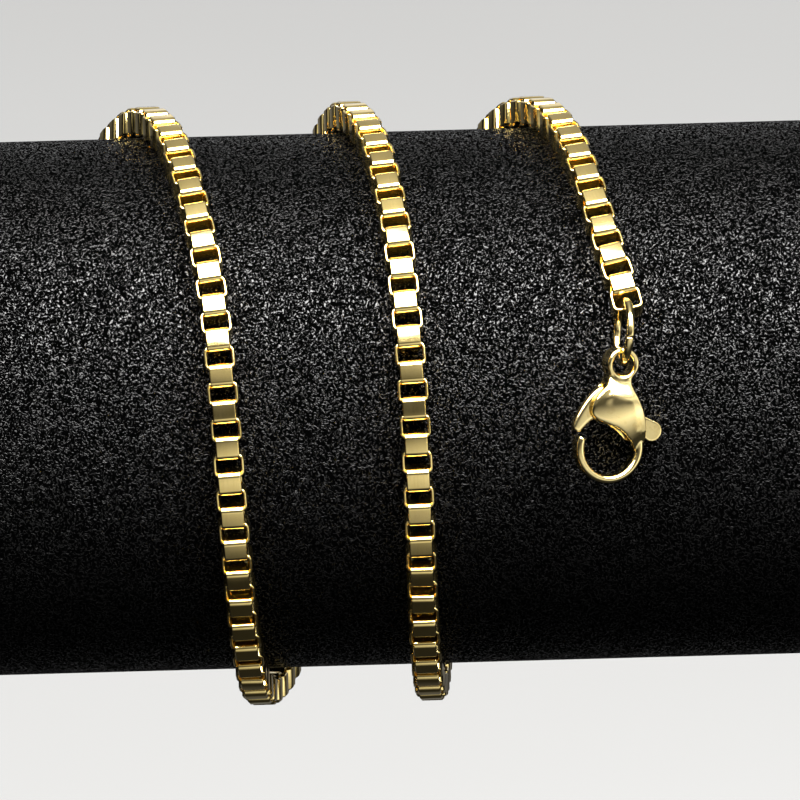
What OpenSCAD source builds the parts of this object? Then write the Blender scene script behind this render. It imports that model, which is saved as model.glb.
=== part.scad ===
// A box chain wound over a display roll, its free end closed by a lobster clasp.
// The roll lies along X and the origin is the middle of its axis. Turns are degrees round
// the roll: 0 at the front (-Y), 90 at the top, and on over the back.

/* [Display roll] */
// Diameter of the display roll
roll_d = 53; // [48:0.5:58]
// Length of the display roll
roll_l = 100; // [80:1:140]
// Radius of the rounded edge at each end of the roll
roll_edge = 1.5; // [0.5:0.1:4]
// Space between the roll and what lies on it
seat_gap = 0.1; // [0.1:0.05:0.3]

/* [Box links] */
// Number of links in the chain
link_count = 244; // [200:2:244]
// Length of a link along the chain
link_l = 2.41; // [2.37:0.02:2.61]
// Width of a link across the chain
link_w = 3; // [2.8:0.1:3.3]
// Thickness of the bent strip
link_wall = 0.26; // [0.22:0.02:0.28]
// Outer radius of the bent corners
link_corner = 0.45; // [0.3:0.05:0.6]
// Clearance at each side between two links that hold each other
link_clear = 0.16; // [0.15:0.01:0.22]
// Play along the chain between two links
link_play = 0.2; // [0.2:0.01:0.24]

/* [Lie of the chain] */
// Turn at which the clasp's end of the chain lies
first_turn = 46.9; // [40:0.1:60]
// Turn at which the chain starts to leave the roll on its way to the clasp
leave_turn = 68; // [64:0.1:90]
// How far the chain hangs off the underside of the roll
hang = 0.9; // [0:0.1:2]

/* [Jump rings] */
// Outer diameter of a jump ring
ring_d = 6.6; // [6.4:0.1:6.8]
// Thickness of a jump ring's wire
ring_wire = 0.8; // [0.6:0.05:0.85]
// Clearance between a jump ring and what hangs on it
ring_clear = 0.1; // [0.1:0.01:0.2]
// Sideways place of the jump ring in the last link
ring_shift = -0.56; // [-0.6:0.02:0]
// Turn of the jump ring about its line from the link to the clasp
ring_turn = 12; // [0:1:14]
// Swing of the jump ring out of the line of the chain
ring_swing = -10; // [-20:1:0]

/* [Clasp] */
// Distance from the middle of the hook to the middle of the eye
clasp_l = 8.1; // [7.6:0.1:9]
// Outer radius of the hook
hook_r = 3.45; // [3.2:0.05:3.6]
// Width of the hook's bar
hook_bar = 0.8; // [0.6:0.05:0.9]
// Thickness of the hook, across the clasp's face
hook_t = 1.8; // [1.4:0.1:2]
// Thickness of the body in its middle
body_t = 3.4; // [3.2:0.1:3.8]
// Radius of the domed faces of the body
dome_r = 9; // [8:0.2:12]
// Radius of the shoulder where the crown of the body turns down into the neck
shoulder_r = 2.6; // [2:0.1:4]
// Slope of the neck, from the shoulder down to the eye
neck_slope = 22; // [16:1:24]
// Diameter of the hole in the eye
eye_hole = 2.1; // [1.8:0.1:2.3]
// Width of the bar round the eye
eye_bar = 0.62; // [0.5:0.02:0.8]
// Thickness of the eye, across the clasp's face
eye_t = 2.1; // [1.6:0.1:2.2]
// Depth of the groove round the middle of the eye, outside and inside
eye_groove = 0.08; // [0.05:0.01:0.14]
// Lean of the clasp to the side
clasp_lean = 10; // [0:1:15]
// Turn of the clasp about its own length
clasp_turn = 21; // [10:1:22]

/* [Lever] */
// Thickness of the lever
lever_t = 1; // [0.8:0.05:1.1]
// Clearance between the lever and the walls of its slot
slot_clear = 0.06; // [0.05:0.01:0.12]
// Diameter of the pivot pin
pin_d = 0.8; // [0.6:0.05:1]
// Depth of the pin's ends below the domed faces
pin_recess = 0.1; // [0.05:0.01:0.2]
// Radial clearance between the pin and the lever
pin_clear = 0.05; // [0.03:0.01:0.08]
// Radial clearance between the pin and the body
seat_clear = 0.01; // [0.01:0.005:0.02]
// Distance from the pivot to the tip of the gate
gate_reach = 4.45; // [4.3:0.05:4.6]
// Clearance between the tip of the gate and the tip of the hook
gate_clear = 0.1; // [0.08:0.01:0.2]
// Radius of the thumb tab
tab_r = 1; // [0.7:0.05:1.1]
// Distance from the middle of the hook out to the middle of the thumb tab
tab_out = 4.15; // [3.9:0.05:4.4]

/* [Hidden] */
fine = 96;
gold = [0.86, 0.78, 0.55];
deg_per_rad = 180 / PI;

roll_r = roll_d / 2;
ring_r = ring_d / 2;
ring_hole_r = ring_r - ring_wire;

// Each link's strip passes through the window of the next link
strip_w = link_w - 2 * link_wall - 2 * link_clear;
window_l = link_l - 2 * link_wall;
link_pitch = window_l - link_play;
chain_r = roll_r + seat_gap + link_w / 2;

// Chosen points of the chain's route: [turn, place along the roll]
route = [
    [30, 23.3], [47, 21.95], [60, 20.4], [75, 18.85], [90, 17.25], [105, 15.5], [120, 13.45],
    [144, 9.65], [170, 7.2], [200, 5.6], [240, 4.1], [280, 2.9], [306, 2.25], [325, 1.9],
    [345, 1.7], [372, 1.55], [390, 1.3], [408, 0.8], [424, 0.1], [440, -0.95], [456, -2.3],
    [478, -4.4], [504, -6.8], [528, -8.3], [558, -9.1], [590, -9.8], [615, -10.9],
    [636, -12.3], [650, -13.6], [662, -14.5], [674, -15.05], [686, -15.4], [705, -15.9],
    [733, -16.5], [751, -16.95], [770, -17.7], [787, -19], [807, -20.9], [821, -22.4],
    [840, -24.8], [864, -28.6], [885, -31.5], [910, -33.5], [960, -36], [1100, -39],
];

function unit(v) = v / norm(v);

// Place along the roll at a turn, by a smooth curve through the route's points
function route_slope(k) = let (
        before = route[max(k - 1, 0)],
        after = route[min(k + 1, len(route) - 1)]
    ) (after[1] - before[1]) / (after[0] - before[0]);
function route_step(turn) = max([
    for (k = [0:len(route) - 2]) if (k == 0 || route[k][0] <= turn) k
]);
function along_roll(turn) = let (
        k = route_step(turn),
        run = route[k + 1][0] - route[k][0],
        u = (turn - route[k][0]) / run
    )
    (2 * u * u * u - 3 * u * u + 1) * route[k][1]
    + (u * u * u - 2 * u * u + u) * run * route_slope(k)
    + (3 * u * u - 2 * u * u * u) * route[k + 1][1]
    + (u * u * u - u * u) * run * route_slope(k + 1);

// Distance from the wall of a link's window to the middle of a ring that it hangs in,
// where the ring's middle is some rise above the link's
ring_rise = 0.12;
function ring_drop(rise, half) = sqrt(pow(ring_hole_r - ring_clear, 2) - pow(half + rise, 2));
ring_reach = window_l / 2 + ring_drop(ring_rise, strip_w / 2);
ring_far = roll_r + seat_gap + ring_r;

// The jump ring stands on the roll, so it lifts the chain's end off the roll
lift_run = (leave_turn - first_turn) * chain_r / deg_per_rad;
end_lift = (ring_r - link_w / 2 - ring_rise - pow(ring_reach, 2) / (2 * ring_far))
    / (1 + 2 * ring_reach / lift_run);

// The chain's middle line
function end_share(turn) = max(0, (leave_turn - turn) / (leave_turn - first_turn));
function line_r(turn) = chain_r + end_lift * pow(end_share(turn), 2)
    + hang * pow(max(0, -sin(turn)), 3);
function line_point(turn) = [
    along_roll(turn), -line_r(turn) * cos(turn), line_r(turn) * sin(turn)
];
function line_run(turn) = line_point(turn + 0.5) - line_point(turn - 0.5);
function heading(turn) = unit(line_run(turn));
half_step = deg_per_rad * link_pitch / chain_r / 2;
function next_turn(turn) = turn + link_pitch / norm(line_run(turn + half_step));

link_turns = [
    for (i = 0, turn = first_turn; i < link_count; turn = next_turn(turn), i = i + 1) turn
];
last_turn = link_turns[link_count - 1];

// The jump ring's middle, reached from the last link's middle
end_way = heading(first_turn);
end_out = unit([0, -end_way.z, end_way.y]);
end_side = cross(end_way, end_out);
ring_place = line_point(first_turn) - window_l / 2 * end_way + ring_rise * end_out
    + ring_shift * end_side
    - ring_drop(ring_rise, strip_w / 2) * (cos(ring_swing) * end_way - sin(ring_swing) * end_side);
ring_at = atan2(ring_place.z, -ring_place.y);

// Outlines of the clasp's body and gate, as shares of [hook radius, clasp length]
body_outline = [
    [0.29, 0.88], [0.35, 0.79], [0.57, 0.63], [0.79, 0.47], [0.93, 0.3], [1, 0.13],
    [0.98, -0.01], [0.9, -0.08], [0.76, 0], [0.62, 0.075], [0.42, 0.15], [0.16, 0.22],
    [-0.17, 0.265], [-0.5, 0.3], [-0.7, 0.355], [-0.76, 0.45], [-0.71, 0.56], [-0.55, 0.67],
    [-0.4, 0.75], [-0.29, 0.88],
];
gate_outline = [
    [-0.16, 0.68], [-0.34, 0.7], [-0.48, 0.715], [-0.62, 0.675], [-0.81, 0.575],
    [-0.99, 0.44], [-1.11, 0.31], [-1.15, 0.2], [-1.1, 0.13], [-1, 0.125], [-0.9, 0.165],
    [-0.78, 0.225], [-0.6, 0.3], [-0.4, 0.37], [-0.16, 0.42],
];
curve_steps = 5;

// Upper half of the body's side view: level up to the crown, round the shoulder, down the neck
crown_end = 0.53 * clasp_l;
shoulder_steps = 6;
shoulder_line = [
    for (k = [0:shoulder_steps]) let (slope = neck_slope * k / shoulder_steps)
        [crown_end + shoulder_r * sin(slope), body_t / 2 - shoulder_r * (1 - cos(slope))]
];
neck_top = shoulder_line[shoulder_steps];
side_line = concat(
    [[-2 * hook_r, body_t / 2]],
    shoulder_line,
    [[clasp_l, neck_top.y - (clasp_l - neck_top.x) * tan(neck_slope)]]
);

// A smooth closed curve through the points of an outline
function closed_curve(points, steps) = let (count = len(points)) [
    for (k = [0:count - 1], s = [0:steps - 1]) let (
        a = points[(k + count - 1) % count],
        b = points[k],
        c = points[(k + 1) % count],
        d = points[(k + 2) % count],
        u = s / steps
    )
    b + u * (c - a) / 2 + u * u * (a - 2.5 * b + 2 * c - d / 2)
        + u * u * u * (d - 3 * c + 3 * b - a) / 2
];
function clasp_curve(outline) = closed_curve(
    [for (row = outline) [row[0] * hook_r, row[1] * clasp_l]], curve_steps
);

pivot = [-0.28 * hook_r, 0.585 * clasp_l];
dome_middle = [0.16 * hook_r, 0.48 * clasp_l];
tab_middle = [tab_out, 0.255 * clasp_l];
slot_low = 0.11 * clasp_l;
slot_high = 0.735 * clasp_l;

// The hook's bar runs round from its tip, past its foot, to under the body
hook_from = 166;
hook_sweep = 214;

hub_wall = 0.55;
hub_r = pin_d / 2 + hub_wall;
arm_outline = [
    pivot + [0, 0.9 * hub_r], pivot + [hub_r, -0.1 * hub_r], tab_middle + [0, tab_r],
    tab_middle - [0, tab_r], pivot - [0, 1.6 * hub_r],
];
dome_drop = dome_r - body_t / 2;

// The clasp hangs from the ring and lies against the roll with the tab of its lever, which
// keeps clear of the roll as the lever turns
eye_r = eye_hole / 2 + eye_bar;
eye_drop = 0.4;
eye_shift = -0.42;
eye_far = ring_far - eye_drop;
tab_reach = pivot.x + norm(tab_middle - pivot) + tab_r;
clasp_far = roll_r + seat_gap + tab_reach * sin(clasp_turn) + lever_t / 2 * cos(clasp_turn);
eye_tilt = acos(clasp_far / eye_far) - atan(eye_drop / ring_r)
    + deg_per_rad * ring_r / (2 * ring_far);
eye_edge = [
    eye_hole / 2 * cos(eye_tilt) - eye_t / 2 * sin(eye_tilt),
    eye_hole / 2 * sin(eye_tilt) + eye_t / 2 * cos(eye_tilt)
];
eye_reach = eye_edge.x + ring_drop(0, eye_edge.y);
eye_at = ring_at
    - acos((pow(ring_far, 2) + pow(eye_far, 2) - pow(eye_reach, 2)) / (2 * ring_far * eye_far));
clasp_at = eye_at - acos(clasp_far / eye_far);
pin_l = 2 * (sqrt(pow(dome_r, 2) - pow(norm(pivot - dome_middle), 2)) - dome_drop - pin_recess);

module on_chain(turn) {
    way = heading(turn);
    translate(line_point(turn))
        rotate([atan2(way.z, way.y), 0, 0])
            rotate([0, 0, -asin(way.x)])
                children();
}

module in_clasp() {
    rotate([90 - clasp_at, 0, 0])
        translate([ring_place.x + eye_shift, sqrt(pow(eye_far, 2) - pow(clasp_far, 2)), clasp_far])
            rotate([0, 0, -clasp_lean])
                rotate([0, clasp_turn, 0])
                    translate([0, -clasp_l, 0])
                        children();
}

// One box link: a strip bent to a ring with rounded corners, its window along Z
module box_link() {
    corner_x = link_w / 2 - link_corner;
    corner_y = link_l / 2 - link_corner;
    outer = [
        for (quarter = [0:3], bend = [0:2]) let (
            side_x = quarter == 0 || quarter == 3 ? 1 : -1,
            side_y = quarter < 2 ? 1 : -1,
            angle = 90 * quarter + 45 * bend
        ) [side_x * corner_x + link_corner * cos(angle), side_y * corner_y + link_corner * sin(angle)]
    ];
    inner = [
        for (side = [[1, 1], [-1, 1], [-1, -1], [1, -1]])
            [side.x * (link_w / 2 - link_wall), side.y * window_l / 2]
    ];
    linear_extrude(strip_w, center = true)
        polygon(concat(outer, inner), [[for (i = [0:11]) i], [for (i = [12:15]) i]]);
}

module wire_ring() {
    rotate_extrude($fn = fine)
        translate([ring_r - ring_wire / 2, 0])
            circle(d = ring_wire, $fn = 32);
}

// A bar with round lips at both edges and a web between them, bent round Z
module bent_bar(outer_r, bar, thick, sweep, web) {
    rotate_extrude(angle = sweep, $fn = fine)
        translate([outer_r - bar / 2, 0]) {
            square([web, thick - bar], center = true);
            for (side = [-1, 1])
                translate([0, side * (thick - bar) / 2])
                    circle(d = bar, $fn = 32);
        }
}

module roll() {
    color([0.09, 0.09, 0.1])
        rotate([0, 90, 0])
            rotate_extrude($fn = fine) {
                translate([0, -roll_l / 2])
                    square([roll_r - roll_edge, roll_l]);
                translate([0, roll_edge - roll_l / 2])
                    square([roll_r, roll_l - 2 * roll_edge]);
                for (side = [-1, 1])
                    translate([roll_r - roll_edge, side * (roll_l / 2 - roll_edge)])
                        circle(roll_edge, $fn = 48);
            }
}

// Windows face outwards and sideways by turns
module chain() {
    color(gold)
        for (i = [0:link_count - 1])
            on_chain(link_turns[i])
                rotate([0, i % 2 == 0 ? 0 : 90, 0])
                    box_link();
}

module jump_ring() {
    color(gold)
        on_chain(first_turn)
            translate([ring_shift, -window_l / 2, ring_rise])
                rotate([0, 0, ring_swing])
                    translate([0, -ring_drop(ring_rise, strip_w / 2), 0])
                        rotate([0, 90 + ring_turn, 0])
                            wire_ring();
}

// The far end's ring lies flat, because the last link's window faces sideways
module end_ring() {
    color(gold)
        on_chain(last_turn)
            translate([0, window_l / 2 + ring_drop(0, strip_w / 2), 0])
                wire_ring();
}

// The ball whose far side is the clasp's domed face
module dome(side) {
    translate([dome_middle.x, dome_middle.y, -side * dome_drop])
        sphere(dome_r, $fn = fine);
}

// The body's side view, carried through across its face
module side_block() {
    below = [for (k = [1:len(side_line)]) let (p = side_line[len(side_line) - k]) [p.x, -p.y]];
    rotate([90, 0, 90])
        linear_extrude(4 * hook_r, center = true)
            polygon(concat(side_line, below));
}

module clasp_body() {
    color(gold)
        in_clasp()
            difference() {
                union() {
                    intersection() {
                        linear_extrude(body_t, center = true)
                            polygon(clasp_curve(body_outline));
                        dome(1);
                        dome(-1);
                        side_block();
                    }
                    difference() {
                        rotate([0, 0, hook_from])
                            bent_bar(hook_r, hook_bar, hook_t, hook_sweep, hook_bar);
                        translate([pivot.x, pivot.y, 0])
                            cylinder(h = 2 * hook_t, r = gate_reach + gate_clear, center = true, $fn = fine);
                    }
                    translate([0, clasp_l, 0])
                        bent_bar(eye_r, eye_bar, eye_t, 360, eye_bar - 2 * eye_groove);
                }
                translate([0, (slot_low + slot_high) / 2, 0])
                    cube([4 * hook_r, slot_high - slot_low, lever_t + 2 * slot_clear], center = true);
                translate([pivot.x, pivot.y, 0])
                    cylinder(h = 2 * body_t, d = pin_d + 2 * seat_clear, center = true, $fn = fine);
            }
}

module pivot_pin() {
    color(gold)
        in_clasp()
            translate([pivot.x, pivot.y, 0])
                cylinder(h = pin_l, d = pin_d, center = true, $fn = fine);
}

// Thumb tab at one side, gate at the other, and the pivot between them
module clasp_lever() {
    color(gold)
        in_clasp()
            difference() {
                union() {
                    intersection() {
                        linear_extrude(lever_t, center = true)
                            polygon(clasp_curve(gate_outline));
                        translate([pivot.x, pivot.y, 0])
                            cylinder(h = 2 * lever_t, r = gate_reach, center = true, $fn = fine);
                    }
                    translate([pivot.x, pivot.y, 0])
                        cylinder(h = lever_t, r = hub_r, center = true, $fn = fine);
                    translate([tab_middle.x, tab_middle.y, 0])
                        cylinder(h = lever_t, r = tab_r, center = true, $fn = fine);
                    linear_extrude(lever_t, center = true)
                        polygon(arm_outline);
                }
                translate([pivot.x, pivot.y, 0])
                    cylinder(h = 2 * lever_t, d = pin_d + 2 * pin_clear, center = true, $fn = fine);
            }
}

roll();
chain();
jump_ring();
clasp_body();
pivot_pin();
clasp_lever();
end_ring();
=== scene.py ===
import math

import bmesh
import bpy
import numpy as np
from mathutils import Matrix, Vector


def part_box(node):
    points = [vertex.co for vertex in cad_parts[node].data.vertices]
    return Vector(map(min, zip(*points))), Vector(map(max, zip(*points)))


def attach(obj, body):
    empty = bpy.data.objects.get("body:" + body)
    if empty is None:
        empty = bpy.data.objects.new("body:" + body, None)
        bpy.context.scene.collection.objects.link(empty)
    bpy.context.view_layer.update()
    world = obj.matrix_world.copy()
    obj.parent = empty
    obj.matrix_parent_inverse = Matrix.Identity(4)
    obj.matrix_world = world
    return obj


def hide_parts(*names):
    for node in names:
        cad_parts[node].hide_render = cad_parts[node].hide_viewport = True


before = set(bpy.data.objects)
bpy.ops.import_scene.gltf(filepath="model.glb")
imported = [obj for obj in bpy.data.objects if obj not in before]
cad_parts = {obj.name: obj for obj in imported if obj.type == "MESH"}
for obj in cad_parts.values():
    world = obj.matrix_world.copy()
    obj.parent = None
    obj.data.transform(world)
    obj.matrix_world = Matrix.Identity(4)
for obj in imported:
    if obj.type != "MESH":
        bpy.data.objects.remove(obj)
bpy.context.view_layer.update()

MM = 0.001


def new_object(name, data):
    """An object linked into the scene."""
    made = bpy.data.objects.new(name, data)
    bpy.context.scene.collection.objects.link(made)
    return made


# Camera: the photo's view of the roll. The lens and sensor are in millimetres

VIEW_DISTANCE = 800 * MM
VIEW_ELEVATION = math.radians(30)
VIEW_ROLL = math.radians(1.575)
AIM_BELOW = 0.23 * MM
LENS = 361.8
SENSOR = 36
CLIP_NEAR = 50 * MM
CLIP_FAR = 20


def make_camera():
    """The photo's camera, aimed a little below the roll's axis and turned a little."""
    data = bpy.data.cameras.new("camera")
    data.lens = LENS
    data.sensor_width = SENSOR
    data.clip_start = CLIP_NEAR
    data.clip_end = CLIP_FAR
    camera = new_object("camera", data)
    back = Vector((0, -math.cos(VIEW_ELEVATION), math.sin(VIEW_ELEVATION)))
    level_up = Vector((0, math.sin(VIEW_ELEVATION), math.cos(VIEW_ELEVATION)))
    level_right = Vector((1, 0, 0))
    right = math.cos(VIEW_ROLL) * level_right - math.sin(VIEW_ROLL) * level_up
    up = math.sin(VIEW_ROLL) * level_right + math.cos(VIEW_ROLL) * level_up
    turn = Matrix((right, up, back)).transposed()
    camera.matrix_world = Matrix.Translation(back * VIEW_DISTANCE - up * AIM_BELOW) @ turn.to_4x4()
    bpy.context.scene.camera = camera


# Node trees and shader maths

class Value:
    """A socket that adds its Math nodes as Python operators are used on it."""

    def __init__(self, tree, socket):
        self.tree = tree
        self.socket = socket

    def math(self, operation, *others, clamp=False):
        return self.tree.math(operation, self, *others, clamp=clamp)

    def __add__(self, other):
        return self.math("ADD", other)

    def __sub__(self, other):
        return self.math("SUBTRACT", other)

    def __mul__(self, other):
        return self.math("MULTIPLY", other)

    def __truediv__(self, other):
        return self.math("DIVIDE", other)

    __radd__ = __add__
    __rmul__ = __mul__

    def __rsub__(self, other):
        return self.tree.math("SUBTRACT", other, self)

    def __rtruediv__(self, other):
        return self.tree.math("DIVIDE", other, self)

    def __neg__(self):
        return self * -1

    def __abs__(self):
        return self.math("ABSOLUTE")

    def clamped(self):
        return self.math("ADD", 0, clamp=True)

    def above(self, edge, width):
        """0 below the edge, 1 above it, over a soft step of some width."""
        return ((self - edge) / width + 0.5).clamped()

    def eased(self):
        """0 and 1 as they are, with a soft start and end between them."""
        return self * self * (3 - self * 2)


class Tree:
    """Adds nodes to a node tree: the type, its settings, then its sockets."""

    def __init__(self, tree):
        self.tree = tree

    def add(self, kind, settings=None, inputs=None, out=0):
        made = self.tree.nodes.new(kind)
        for name, value in (settings or {}).items():
            if name == "stops":
                self.set_stops(made.color_ramp, value)
            else:
                setattr(made, name, value)
        for key, value in (inputs or {}).items():
            socket = made.inputs[key]
            if isinstance(value, Value):
                self.tree.links.new(value.socket, socket)
            else:
                socket.default_value = value
        return Value(self, made.outputs[out])

    @staticmethod
    def set_stops(ramp, stops):
        while len(ramp.elements) < len(stops):
            ramp.elements.new(0.5)
        for element, (place, color) in zip(ramp.elements, stops):
            element.position = place
            element.color = color

    def math(self, operation, *values, clamp=False):
        settings = {"operation": operation, "use_clamp": clamp}
        return self.add("ShaderNodeMath", settings, dict(enumerate(values)))

    def vector(self, x=0, y=0, z=0):
        return self.add("ShaderNodeCombineXYZ", {}, {0: x, 1: y, 2: z})

    def split(self, vector):
        """The three numbers of a vector."""
        first = self.add("ShaderNodeSeparateXYZ", {}, {0: vector})
        return [Value(self, output) for output in first.socket.node.outputs]


class Finish(Tree):
    """A material's node tree round one Principled shader."""

    def __init__(self, name, **fixed):
        self.material = bpy.data.materials.new(name)
        self.material.use_nodes = True
        tree = self.material.node_tree
        super().__init__(tree)
        self.shader = tree.nodes["Principled BSDF"]
        for socket, value in fixed.items():
            self.shader.inputs[socket.replace("_", " ")].default_value = value

    def place(self):
        return self.add("ShaderNodeTexCoord", out="Object")

    def attribute(self, name, out="Vector"):
        return self.add("ShaderNodeAttribute", {"attribute_name": name}, out=out)

    def scaled(self, vector, by):
        return self.add("ShaderNodeVectorMath", {"operation": "MULTIPLY"}, {0: vector, 1: by})

    def shifted(self, vector, by):
        return self.add("ShaderNodeVectorMath", {"operation": "ADD"}, {0: vector, 1: by})

    def noise(self, vector, scale, detail=2, out="Fac"):
        inputs = {"Vector": vector, "Scale": scale, "Detail": detail}
        return self.add("ShaderNodeTexNoise", {}, inputs, out)

    def mix(self, share, a, b):
        """Colour a where share is 0, colour b where it is 1."""
        return self.add("ShaderNodeMix", {"data_type": "RGBA"}, {0: share, 6: a, 7: b}, out=2)

    def bump(self, height, distance):
        inputs = {"Height": height, "Strength": 1, "Distance": distance}
        return self.add("ShaderNodeBump", {}, inputs)

    def feed(self, socket, value):
        self.tree.links.new(value.socket, self.shader.inputs[socket])


# Finishes: a SCALE is a noise's waves to a metre, an EDGE is the middle and width of a soft step

NOISE_MIDDLE = 0.5

GOLD = (0.93, 0.71, 0.26, 1)
GOLD_PALE = (0.95, 0.77, 0.36, 1)
GOLD_TARNISH = (0.62, 0.40, 0.10, 1)
GOLD_ROUGHNESS = 0.08
GOLD_RELIEF = 0.1 * MM

POLISHED_CLOUD_SCALE = 420
POLISHED_SPOT_SCALE = 900
POLISHED_SCRATCH_SCALE = 9000
POLISHED_WAVE_SCALE = 700
POLISHED_SPOT_SHIFT = (0.3, 0.1, 0.2)
POLISHED_WEAR_EDGE = (0.55, 0.35)
POLISHED_SPOT_EDGE = (0.66, 0.16)
POLISHED_PALE_LEAST = 0.6
POLISHED_PALE_WORN = 0.4
POLISHED_TARNISH = 0.35
POLISHED_CLOUD_ROUGHNESS = 0.05
POLISHED_TARNISH_ROUGHNESS = 0.1
POLISHED_SCRATCH_BUMP = 0.0009
CAST_WAVE_BUMP = 0.02
WIRE_WAVE_BUMP = 0.01


def polished_gold(name, wave_bump):
    """Plated gold with faint polishing waves, cloudy wear and a few fine scratches."""
    finish = Finish(name, Metallic=1.0)
    place = finish.place()
    clouds = finish.noise(place, POLISHED_CLOUD_SCALE, detail=3)
    spots = finish.noise(finish.shifted(place, POLISHED_SPOT_SHIFT), POLISHED_SPOT_SCALE, detail=4)
    scratches = finish.noise(place, POLISHED_SCRATCH_SCALE, detail=2)
    waves = finish.noise(place, POLISHED_WAVE_SCALE, detail=1)
    worn = clouds.above(*POLISHED_WEAR_EDGE)
    tarnish = spots.above(*POLISHED_SPOT_EDGE)
    colour = finish.mix(worn * POLISHED_PALE_WORN + POLISHED_PALE_LEAST, GOLD, GOLD_PALE)
    colour = finish.mix(tarnish * POLISHED_TARNISH, colour, GOLD_TARNISH)
    rough = GOLD_ROUGHNESS + clouds * POLISHED_CLOUD_ROUGHNESS
    rough += tarnish * POLISHED_TARNISH_ROUGHNESS
    height = waves * wave_bump + scratches * POLISHED_SCRATCH_BUMP
    finish.feed("Base Color", colour)
    finish.feed("Roughness", rough)
    finish.feed("Normal", finish.bump(height, GOLD_RELIEF))
    return finish.material


LINK_SEED_SHIFT = (0.7, 0.3, 1)
LINK_LINE_SCALES = (500, 500, 9000)
LINK_CLOUD_SCALE = 700
LINK_WAVE_SCALE = 420
LINK_PALE_EDGE = (0.45, 0.4)
LINK_TARNISH_EDGE = (0.64, 0.2)
LINK_LINE_EDGE = (0.62, 0.2)
LINK_PALE = 0.4
LINK_TARNISH = 0.2
LINK_LINE_TARNISH = 0.15
LINK_LINE_ROUGHNESS = 0.07
LINK_CLOUD_ROUGHNESS = 0.04
LINK_LINE_BUMP = 0.03
LINK_WAVE_BUMP = 0.5


def link_gold(name):
    """Gold strip, drawn along its length, so its fine lines run round each link."""
    finish = Finish(name, Metallic=1.0)
    lie = finish.attribute("strip_place")
    seed = finish.attribute("link_seed", "Fac")
    shift = finish.vector(*[seed * share for share in LINK_SEED_SHIFT])
    drawn = finish.shifted(lie, shift)
    lines = finish.noise(finish.scaled(drawn, LINK_LINE_SCALES), 1, detail=2)
    clouds = finish.noise(drawn, LINK_CLOUD_SCALE, detail=3)
    waves = finish.noise(drawn, LINK_WAVE_SCALE, detail=0)
    pale = clouds.above(*LINK_PALE_EDGE) * LINK_PALE
    tarnish = clouds.above(*LINK_TARNISH_EDGE) * LINK_TARNISH
    tarnish += lines.above(*LINK_LINE_EDGE) * LINK_LINE_TARNISH
    colour = finish.mix(tarnish, finish.mix(pale, GOLD, GOLD_PALE), GOLD_TARNISH)
    finish.feed("Base Color", colour)
    rough = GOLD_ROUGHNESS + lines * LINK_LINE_ROUGHNESS + clouds * LINK_CLOUD_ROUGHNESS
    finish.feed("Roughness", rough)
    height = lines * LINK_LINE_BUMP + waves * LINK_WAVE_BUMP
    finish.feed("Normal", finish.bump(height, GOLD_RELIEF))
    return finish.material


LEATHER_GROUND = (0.0003, 0.0003, 0.0003, 1)
LEATHER_RIDGE = (0.034, 0.0334, 0.0328, 1)
LEATHER_BEND_SCALE = 1900
LEATHER_BEND = (0.4 * MM,) * 3
LEATHER_GRAIN_SCALE = 4100
LEATHER_BREAK_SCALE = 4200
LEATHER_BREAK_SHIFT = (0.7, 0.2, 0.4)
LEATHER_PORE_SCALE = 6000
LEATHER_WEAR_SCALE = 150
LEATHER_RIDGE_HALF = 0.13
LEATHER_BREAK_EDGE = (0.45, 0.3)
LEATHER_GLOSS_EDGE = (0.45, 0.28)
LEATHER_ROUGHNESS = 0.5
LEATHER_GLOSS = 0.3
LEATHER_WEAR = 0.2
LEATHER_GRAIN_BUMP = 0.8
LEATHER_PORE_BUMP = 0.1
LEATHER_RELIEF = 0.026 * MM


def leatherette(name):
    """Black grained cover: short glossy ridges that wind over a dull ground."""
    finish = Finish(name, Specular_IOR_Level=0.0)
    place = finish.place()
    bend = finish.noise(place, LEATHER_BEND_SCALE, detail=1, out="Color")
    bent = finish.shifted(place, finish.scaled(bend, LEATHER_BEND))
    grain = finish.noise(bent, LEATHER_GRAIN_SCALE, detail=0)
    breaks = finish.noise(finish.shifted(bent, LEATHER_BREAK_SHIFT), LEATHER_BREAK_SCALE, detail=0)
    pores = finish.noise(place, LEATHER_PORE_SCALE, detail=1)
    worn = finish.noise(place, LEATHER_WEAR_SCALE, detail=3)
    winding = (1 - abs(grain - NOISE_MIDDLE) / LEATHER_RIDGE_HALF).clamped()
    ridge = (winding * breaks.above(*LEATHER_BREAK_EDGE)).eased()
    gloss = ridge.above(*LEATHER_GLOSS_EDGE)
    finish.feed("Base Color", finish.mix(gloss, LEATHER_GROUND, LEATHER_RIDGE))
    finish.feed("Metallic", gloss)
    rough = LEATHER_ROUGHNESS - gloss * LEATHER_GLOSS + (worn - NOISE_MIDDLE) * LEATHER_WEAR
    finish.feed("Roughness", rough)
    height = ridge + grain * LEATHER_GRAIN_BUMP + pores * LEATHER_PORE_BUMP
    finish.feed("Normal", finish.bump(height, LEATHER_RELIEF))
    return finish.material


FLOOR_DARKER = (0.18, 0.179, 0.175, 1)
FLOOR_PALER = (0.195, 0.194, 0.19, 1)
FLOOR_MOTTLE_SCALE = 6
FLOOR_ROUGHNESS = 0.7


def floor_finish(name):
    """A plain pale floor with a faint mottle."""
    finish = Finish(name, Roughness=FLOOR_ROUGHNESS)
    mottle = finish.noise(finish.place(), FLOOR_MOTTLE_SCALE, detail=4)
    finish.feed("Base Color", finish.mix(mottle, FLOOR_DARKER, FLOOR_PALER))
    return finish.material


# Meshes

NORMAL_WEIGHT = 60
SAME_POINT = 0.0001 * MM


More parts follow.
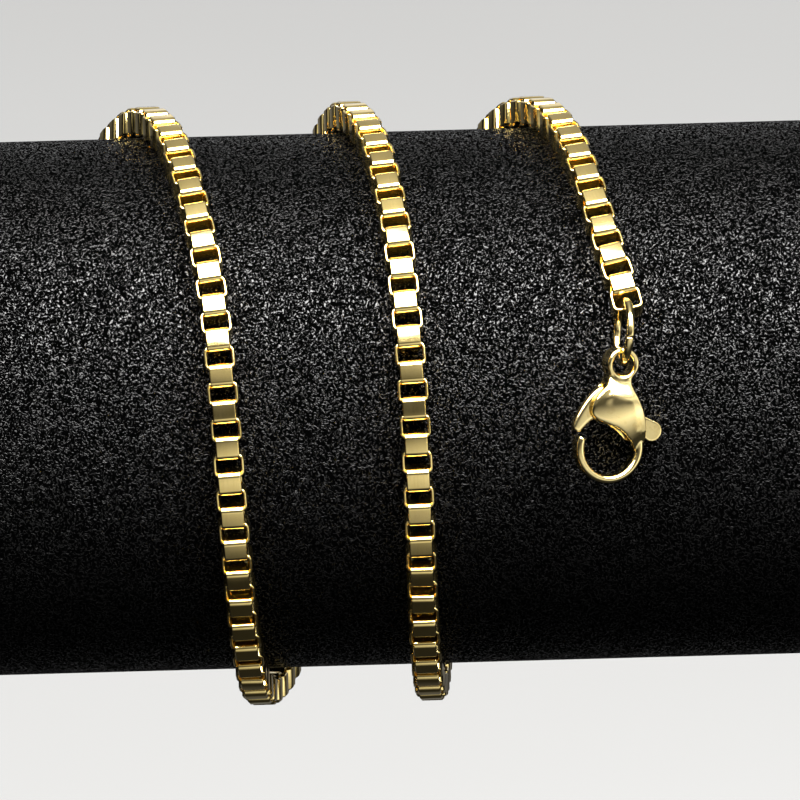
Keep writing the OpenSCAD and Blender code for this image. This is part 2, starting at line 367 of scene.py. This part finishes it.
def add_piece(name, mesh, body, slot, material, *nodes):
    """Puts a mesh in the frame as a piece that rides on a body and stands for CAD nodes."""
    piece = new_object(name, mesh)
    mesh.materials.clear()
    mesh.materials.append(material)
    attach(piece, body)
    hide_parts(*nodes)


def plain_mesh(holder):
    """What an object's modifiers make of it, as a plain mesh. The object itself goes."""
    graph = bpy.context.evaluated_depsgraph_get()
    mesh = bpy.data.meshes.new_from_object(holder.evaluated_get(graph), depsgraph=graph)
    holder.modifiers.clear()
    bpy.data.objects.remove(holder)
    return mesh


def merged(node):
    """A copy of a CAD node's mesh with its loose triangles joined."""
    copy = bmesh.new()
    copy.from_mesh(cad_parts[node].data)
    bmesh.ops.remove_doubles(copy, verts=copy.verts, dist=SAME_POINT)
    return copy


def islands(copy):
    """The points of each separate solid in a merged mesh, in the order of the mesh."""
    left = set(copy.verts)
    found = []
    for start in copy.verts:
        if start not in left:
            continue
        left.discard(start)
        island, waiting = [start], [start]
        while waiting:
            vert = waiting.pop()
            for edge in vert.link_edges:
                other = edge.other_vert(vert)
                if other in left:
                    left.discard(other)
                    island.append(other)
                    waiting.append(other)
        found.append(np.array([vert.co for vert in island]))
    return found


def box_middle(points):
    return (points.min(0) + points.max(0)) / 2


def directions_of(apart):
    """The main directions of some points given from their middle, the shortest first."""
    _, directions = np.linalg.eigh(np.cov(apart.T))
    return directions.T


def unit(direction):
    return direction / np.linalg.norm(direction)


def off_axis(apart, axis):
    """How far some points are from an axis through their middle."""
    return np.linalg.norm(apart - np.outer(apart @ axis, axis), axis=1)


class Shape(Tree):
    """A Geometry Nodes tree with named sizes, made into a plain mesh by its mesh_from."""

    def __init__(self, name, **sizes):
        tree = bpy.data.node_groups.new(name, "GeometryNodeTree")
        super().__init__(tree)
        sockets = tree.interface
        sockets.new_socket("Geometry", in_out="INPUT", socket_type="NodeSocketGeometry")
        sockets.new_socket("Geometry", in_out="OUTPUT", socket_type="NodeSocketGeometry")
        self.keys = {}
        for size, kind in sizes.items():
            socket = sockets.new_socket(size, in_out="INPUT", socket_type="NodeSocket" + kind)
            self.keys[size] = socket.identifier
        self.inputs = tree.nodes.new("NodeGroupInput")
        self.outputs = tree.nodes.new("NodeGroupOutput")

    def given(self, name):
        """A named size of the tree, or the Geometry that it starts from."""
        return Value(self, self.inputs.outputs[name])

    def end(self, geometry, material):
        whole = self.add("GeometryNodeRealizeInstances", {}, {0: geometry})
        done = self.add("GeometryNodeSetMaterial", {}, {0: whole, 2: material})
        self.tree.links.new(done.socket, self.outputs.inputs[0])

    def mesh_from(self, start, **values):
        """The tree's result on a starting mesh, as a plain mesh."""
        holder = new_object(self.tree.name, start)
        nodes = holder.modifiers.new("nodes", "NODES")
        nodes.node_group = self.tree
        for size, value in values.items():
            nodes[self.keys[size]] = value
        smooth = holder.modifiers.new("even normals", "WEIGHTED_NORMAL")
        smooth.weight = NORMAL_WEIGHT
        return plain_mesh(holder)


# Links: the strip is a little wider than the solids', and its EDGE is a share of its wall

LINK_WALL = 0.33 * MM
LINK_CORNER = 0.6 * MM
LINK_BEND_STEPS = 3
LINK_EDGE = 0.48
LINK_EDGE_STEPS = 1
LINK_TILT = math.radians(0.8)
LINK_SEED = 7
STRIP_SPREAD = 0.12 * MM
STRIP_MERGE = 0.03 * MM


def bent_strip(shape):
    """A flat strip with rounded edges, bent round a rounded rectangle."""
    wall = shape.given("Wall")
    route = shape.add(
        "GeometryNodeCurvePrimitiveQuadrilateral", {},
        {0: shape.given("Width") - wall, 1: shape.given("Length") - wall},
    )
    bent = shape.add(
        "GeometryNodeFilletCurve", {"mode": "POLY"},
        {"Curve": route, "Count": LINK_BEND_STEPS, "Radius": shape.given("Corner") - wall / 2},
    )
    level = shape.add("GeometryNodeSetCurveNormal", {"mode": "Z_UP"}, {0: bent})
    section = shape.add(
        "GeometryNodeCurvePrimitiveQuadrilateral", {}, {0: wall, 1: shape.given("Strip")},
    )
    rounded = shape.add(
        "GeometryNodeFilletCurve", {"mode": "POLY"},
        {"Curve": section, "Count": LINK_EDGE_STEPS, "Radius": shape.given("Edge") * wall},
    )
    swept = shape.add("GeometryNodeCurveToMesh", {}, {0: level, 1: rounded})
    strip = shape.add(
        "GeometryNodeMergeByDistance", {}, {"Geometry": swept, "Distance": STRIP_MERGE},
    )
    return shape.add(
        "GeometryNodeStoreNamedAttribute", {"data_type": "FLOAT_VECTOR", "domain": "POINT"},
        {
            "Geometry": strip, "Name": "strip_place",
            "Value": shape.add("GeometryNodeInputPosition"),
        },
    )


def link_shape(material):
    """A bent strip set at each point of the chain, turned and leaning a little."""
    shape = Shape(
        "box_links", Width="Float", Length="Float", Strip="Float", Wall="Float", Corner="Float",
        Edge="Float", Tilt="Float", Seed="Int",
    )
    strip = bent_strip(shape)
    turn = shape.add(
        "GeometryNodeInputNamedAttribute", {"data_type": "FLOAT_VECTOR"}, {"Name": "turn"},
    )
    turned = shape.add("FunctionNodeEulerToRotation", {}, {0: turn})
    links = shape.add(
        "GeometryNodeInstanceOnPoints", {},
        {"Points": shape.given("Geometry"), "Instance": strip, "Rotation": turned},
    )
    tilt = shape.given("Tilt")
    low = shape.vector(-tilt, -tilt, -tilt)
    high = shape.vector(tilt, tilt, tilt)
    lean = shape.add(
        "FunctionNodeRandomValue", {"data_type": "FLOAT_VECTOR"},
        {0: low, 1: high, "Seed": shape.given("Seed")},
    )
    leaning = shape.add("GeometryNodeRotateInstances", {}, {0: links, 2: lean, 4: True})
    chance = shape.add(
        "FunctionNodeRandomValue", {"data_type": "FLOAT"},
        {2: 0.0, 3: 1.0, "Seed": shape.given("Seed") + 1}, out=1,
    )
    seeded = shape.add(
        "GeometryNodeStoreNamedAttribute", {"data_type": "FLOAT", "domain": "INSTANCE"},
        {"Geometry": leaning, "Name": "link_seed", "Value": chance},
    )
    shape.end(seeded, material)
    return shape


def link_frames():
    """Each link of the chain's solids: its middle, across and along, and its points."""
    copy = merged("chain")
    solids = islands(copy)
    copy.free()
    middles = np.array([points.mean(0) for points in solids])
    frames = []
    for middle, points in zip(middles, solids):
        gaps = np.linalg.norm(middles - middle, axis=1)
        nearest = unit(middles[np.argsort(gaps)[1]] - middle)
        ranked = sorted(directions_of(points - middle), key=lambda d: abs(d @ nearest))
        along = ranked.pop()
        across = max(ranked, key=lambda d: np.ptp((points - middle) @ d))
        frames.append((middle, across, along, points))
    return frames


def link_sizes(frames):
    """Width across the chain, length along it, width of the strip."""
    middle, across, along, points = frames[0]
    strip = np.cross(across, along)
    return [float(np.ptp((points - middle) @ d)) for d in (across, along, strip)]


def make_chain(material):
    """All links of the chain, each in the place and turn of its solid."""
    frames = link_frames()
    width, length, strip = link_sizes(frames)
    start = bpy.data.meshes.new("link places")
    start.from_pydata([tuple(middle) for middle, _, _, _ in frames], [], [])
    turn = start.attributes.new("turn", "FLOAT_VECTOR", "POINT")
    for k, (_, across, along, _) in enumerate(frames):
        axes = Matrix((across, along, np.cross(across, along))).transposed()
        turn.data[k].vector = axes.to_euler()[:]
    mesh = link_shape(material).mesh_from(
        start, Width=width, Length=length, Strip=strip + STRIP_SPREAD, Wall=LINK_WALL,
        Corner=LINK_CORNER, Edge=LINK_EDGE, Tilt=LINK_TILT, Seed=LINK_SEED,
    )
    add_piece("box_links", mesh, "root", "gold", material, "chain")


# Jump rings: a ring's cut is on the side nearest to a direction, and its ends are a step apart

RING_STEPS = 96
WIRE_STEPS = 16
CUT_WIDTH = 0.02 * MM
CUT_STEP = 0.03 * MM
JUMP_RING_CUT = (0.2, -1, 0.35)
END_RING_CUT = (0, 1, 0)


def ring_shape(material):
    """A round wire bent to a ring, its two ends meeting at a narrow cut."""
    shape = Shape("wire_ring", Radius="Float", Wire="Float", Cut="Float", Step="Float")
    radius = shape.given("Radius")
    sweep = 2 * math.pi - shape.given("Cut") / radius
    arc = shape.add(
        "GeometryNodeCurveArc", {"mode": "RADIUS"},
        {"Resolution": RING_STEPS, "Radius": radius, "Start Angle": 0.0, "Sweep Angle": sweep},
    )
    share = shape.add("GeometryNodeSplineParameter")
    offset = shape.vector(z=(share - 0.5) * shape.given("Step"))
    spread = shape.add("GeometryNodeSetPosition", {}, {"Geometry": arc, "Offset": offset})
    section = shape.add(
        "GeometryNodeCurvePrimitiveCircle", {"mode": "RADIUS"},
        {"Resolution": WIRE_STEPS, "Radius": shape.given("Wire") / 2},
    )
    wire = shape.add(
        "GeometryNodeCurveToMesh", {},
        {"Curve": spread, "Profile Curve": section, "Fill Caps": True},
    )
    shape.end(wire, material)
    return shape


def make_ring(shape, node, cut_towards, material):
    """A jump ring in the place of its CAD node, its cut nearest to some direction."""
    copy = merged(node)
    points = np.array([vert.co for vert in copy.verts])
    copy.free()
    middle = box_middle(points)
    apart = points - middle
    axis = directions_of(apart)[0]
    wire = float(np.ptp(apart @ axis))
    radius = float(off_axis(apart, axis).max()) - wire / 2
    towards = np.array(cut_towards, float)
    first = unit(towards - (towards @ axis) * axis)
    start = bpy.data.meshes.new("ring start")
    mesh = shape.mesh_from(start, Radius=radius, Wire=wire, Cut=CUT_WIDTH, Step=CUT_STEP)
    axes = Matrix((first, np.cross(axis, first), axis)).transposed().to_4x4()
    mesh.transform(Matrix.Translation(middle) @ axes)
    add_piece(node + "_wire", mesh, "root", "gold", material, node)


# Clasp: its CAST and CROWN sizes are in millimetres, as is the mesh while it is cast.
# The crown is the part round the pivot, which is polished softer than the eye and the hook

CAST_VOXEL = 0.065
CAST_ROUNDS = 14
CAST_FACTOR = 0.5
CROWN_ROUNDS = 120
CROWN_NEAR = 3.2
CROWN_FAR = 5.0
PIN_PROUD = 0.13 * MM
PLUG_SPREAD = 0.05 * MM
PLUG_DEPTH = 0.5 * MM
PLUG_STEPS = 32


def made_by(name, mesh, *modifiers):
    """A mesh after some modifiers, each given as its type and settings.

    A mesh with a crown attribute also gets it as a vertex group, for the modifiers to use.
    """
    holder = new_object(name, mesh)
    if "crown" in mesh.attributes:
        group = holder.vertex_groups.new(name="crown")
        for k, weight in enumerate(mesh.attributes["crown"].data):
            if weight.value > 0:
                group.add([k], weight.value, "REPLACE")
    for kind, settings in modifiers:
        modifier = holder.modifiers.new(kind.lower(), kind)
        for key, value in settings.items():
            setattr(modifier, key, value)
    return plain_mesh(holder)


def pin_plugs(pin):
    """Short studs that fill the pin's two holes up to the polished face."""
    points = np.array([vert.co for vert in pin.verts])
    middle = box_middle(points)
    apart = points - middle
    _, _, directions = np.linalg.svd(apart, full_matrices=False)
    axis = min(directions, key=lambda d: np.std(abs(apart @ d)))
    half = abs(apart @ axis).max()
    radius = off_axis(apart, axis).max() + PLUG_SPREAD
    turn = Vector(axis).to_track_quat("Z", "Y").to_matrix().to_4x4()
    plugs = []
    for side in (-1, 1):
        plug = bmesh.new()
        bmesh.ops.create_cone(
            plug, cap_ends=True, segments=PLUG_STEPS, radius1=radius, radius2=radius,
            depth=PLUG_DEPTH,
        )
        place = middle + side * axis * (half + PIN_PROUD - PLUG_DEPTH / 2)
        plug.transform(Matrix.Translation(place) @ turn)
        plugs.append(plug)
    return plugs


def joined_mesh(name, copies):
    """Some solids in one mesh, in millimetres."""
    joined = bmesh.new()
    for copy in copies:
        part = bpy.data.meshes.new("part")
        copy.to_mesh(part)
        copy.free()
        joined.from_mesh(part)
        bpy.data.meshes.remove(part)
    bmesh.ops.scale(joined, vec=Vector((1, 1, 1)) / MM, verts=joined.verts)
    mesh = bpy.data.meshes.new(name)
    joined.to_mesh(mesh)
    joined.free()
    return mesh


def cast_mesh(name, copies, pivot):
    """One closed skin over some solids, with the soft edges of a polished casting."""
    skin = made_by(
        name, joined_mesh(name, copies),
        ("REMESH", {"mode": "VOXEL", "voxel_size": CAST_VOXEL, "use_smooth_shade": True}),
        ("SMOOTH", {"factor": CAST_FACTOR, "iterations": CAST_ROUNDS}),
    )
    crown = skin.attributes.new("crown", "FLOAT", "POINT")
    for vert, weight in zip(skin.vertices, crown.data):
        away = (vert.co - pivot / MM).length
        weight.value = min(1, max(0, (CROWN_FAR - away) / (CROWN_FAR - CROWN_NEAR)))
    made = made_by(
        name, skin,
        ("SMOOTH", {"factor": CAST_FACTOR, "iterations": CROWN_ROUNDS, "vertex_group": "crown"}),
    )
    made.transform(Matrix.Scale(MM, 4))
    return made


def make_clasp(material):
    """The clasp's body with its pin, and the lever that rides on its own body."""
    low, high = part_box("pivot_pin")
    pivot = (Vector(low) + Vector(high)) / 2
    pin = merged("pivot_pin")
    body = cast_mesh("clasp_shell", [merged("clasp_body"), pin] + pin_plugs(pin), pivot)
    add_piece("clasp_shell", body, "root", "gold", material, "clasp_body", "pivot_pin")
    gate = cast_mesh("clasp_gate", [merged("clasp_lever")], pivot)
    add_piece("clasp_gate", gate, "lever", "gold", material, "clasp_lever")


# Roll: its rings of points lie at shares of the flat end's radius and of the straight half

ROLL_STEPS = 256
ROLL_EDGE = 1.5 * MM
ROLL_EDGE_STEPS = 8
ROLL_END_SHARES = (0.02, 0.25, 0.5, 0.75, 0.97)
ROLL_SIDE_SHARES = (0.98, 0.6, 0.2)


def roll_outline():
    """Half outline of the roll from one end's middle to the other's: [along, radius]."""
    low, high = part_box("roll")
    half = (high.x - low.x) / 2
    radius = (high.z - low.z) / 2
    rim = radius - ROLL_EDGE
    straight = half - ROLL_EDGE
    outline = [(half, rim * share) for share in ROLL_END_SHARES]
    for k in range(ROLL_EDGE_STEPS + 1):
        angle = math.pi / 2 * k / ROLL_EDGE_STEPS
        outline.append((straight + ROLL_EDGE * math.cos(angle), rim + ROLL_EDGE * math.sin(angle)))
    outline += [(straight * share, radius) for share in ROLL_SIDE_SHARES]
    return outline + [(-along, out) for along, out in reversed(outline)]


def make_roll(material):
    """The roll's cover, one closed skin with softly rounded ends."""
    made = bmesh.new()
    turns = [2 * math.pi * k / ROLL_STEPS for k in range(ROLL_STEPS)]
    rings = []
    for along, out in roll_outline():
        ring = [(along, -out * math.cos(turn), out * math.sin(turn)) for turn in turns]
        rings.append([made.verts.new(place) for place in ring])
    for a, b in zip(rings, rings[1:]):
        for k in range(ROLL_STEPS):
            n = (k + 1) % ROLL_STEPS
            made.faces.new((a[k], a[n], b[n], b[k]))
    made.faces.new(list(reversed(rings[0])))
    made.faces.new(rings[-1])
    bmesh.ops.recalc_face_normals(made, faces=made.faces)
    for face in made.faces:
        face.smooth = True
    mesh = bpy.data.meshes.new("roll_cover")
    made.to_mesh(mesh)
    made.free()
    add_piece("roll_cover", mesh, "root", "leatherette", material, "roll")


# Stage and light: places and sizes in metres, power in watts

FLOOR_Z = -200 * MM
FLOOR_SIZE = 3

LIGHTS = {
    "softbox": {
        "place": (0.17, -0.285, 0.9), "aim": (0.17, -0.285, 0), "size": (1.55, 0.73), "power": 90,
    },
    "side_panel": {
        "place": (0.69, -0.24, 0.1), "aim": (0, -0.24, 0.1), "size": (0.5, 0.8), "power": 0.75,
    },
}


def make_floor():
    """A pale floor well below the roll, kept out of the metal's reflections."""
    mesh = bpy.data.meshes.new("floor")
    half = FLOOR_SIZE / 2
    corners = [(-half, -half), (half, -half), (half, half), (-half, half)]
    mesh.from_pydata([(x, y, FLOOR_Z) for x, y in corners], [], [(0, 1, 2, 3)])
    mesh.materials.append(floor_finish("pale_floor"))
    floor = new_object("floor", mesh)
    floor.visible_glossy = False


def make_light(name, place, aim, size, power):
    """A soft panel of light, which the camera doesn't see."""
    data = bpy.data.lights.new(name, "AREA")
    data.shape = "RECTANGLE"
    data.size, data.size_y = size
    data.energy = power
    light = new_object(name, data)
    light.location = place
    towards = Vector(aim) - Vector(place)
    light.rotation_euler = towards.to_track_quat("-Z", "Y").to_euler()
    light.visible_camera = False


# Brightness of the room by direction: degrees from the level front, up over the top to the back
ROOM_LIGHT = [
    (-180, 1.0), (-168, 0.9), (-156, 0.22), (-125, 0.10), (-105, 0.02), (-42, 0.02), (-29, 0.15),
    (-15, 0.42), (0, 0.80), (10, 0.50), (22, 0.06), (30, 0.09), (40, 0.32), (60, 0.45), (100, 0.95),
    (112, 0.85), (125, 0.56), (140, 0.44), (165, 0.40), (180, 1.0),
]
FACING_EDGE = (0.1, 0.2)
LEFT_EDGE = (0.5, 0.8)
BACK_SIDES_DIM = 1.3
FRONT_RIGHT_GAIN = 0.9


def make_world():
    """A room that is dark below, with bright walls in front and behind."""
    world = bpy.data.worlds.new("room")
    world.use_nodes = True
    bpy.context.scene.world = world
    tree = Tree(world.node_tree)
    side, back, height = tree.split(tree.add("ShaderNodeTexCoord", out="Generated"))
    turn = height.math("ARCTAN2", -back) / (2 * math.pi) + 0.5
    stops = [(angle / 360 + 0.5, (level, level, level, 1)) for angle, level in ROOM_LIGHT]
    ramp = tree.add("ShaderNodeValToRGB", {"stops": stops}, {0: turn})
    in_front = (-back).above(*FACING_EDGE)
    behind = back.above(*FACING_EDGE)
    back_sides = behind * abs(side) * BACK_SIDES_DIM
    front_left = in_front * (-side).above(*LEFT_EDGE)
    front_right = in_front * side.math("MAXIMUM", 0) * FRONT_RIGHT_GAIN
    strength = (1 - back_sides - front_left).clamped() + front_right
    background = world.node_tree.nodes["Background"]
    world.node_tree.links.new(ramp.socket, background.inputs[0])
    world.node_tree.links.new(strength.socket, background.inputs[1])


def main():
    make_camera()
    bpy.context.scene.view_settings.view_transform = "Standard"
    make_chain(link_gold("link_gold"))
    wire = polished_gold("wire_gold", WIRE_WAVE_BUMP)
    ring = ring_shape(wire)
    make_ring(ring, "jump_ring", JUMP_RING_CUT, wire)
    make_ring(ring, "end_ring", END_RING_CUT, wire)
    make_clasp(polished_gold("cast_gold", CAST_WAVE_BUMP))
    make_roll(leatherette("black_leatherette"))
    make_floor()
    for name, light in LIGHTS.items():
        make_light(name, **light)
    make_world()


main()
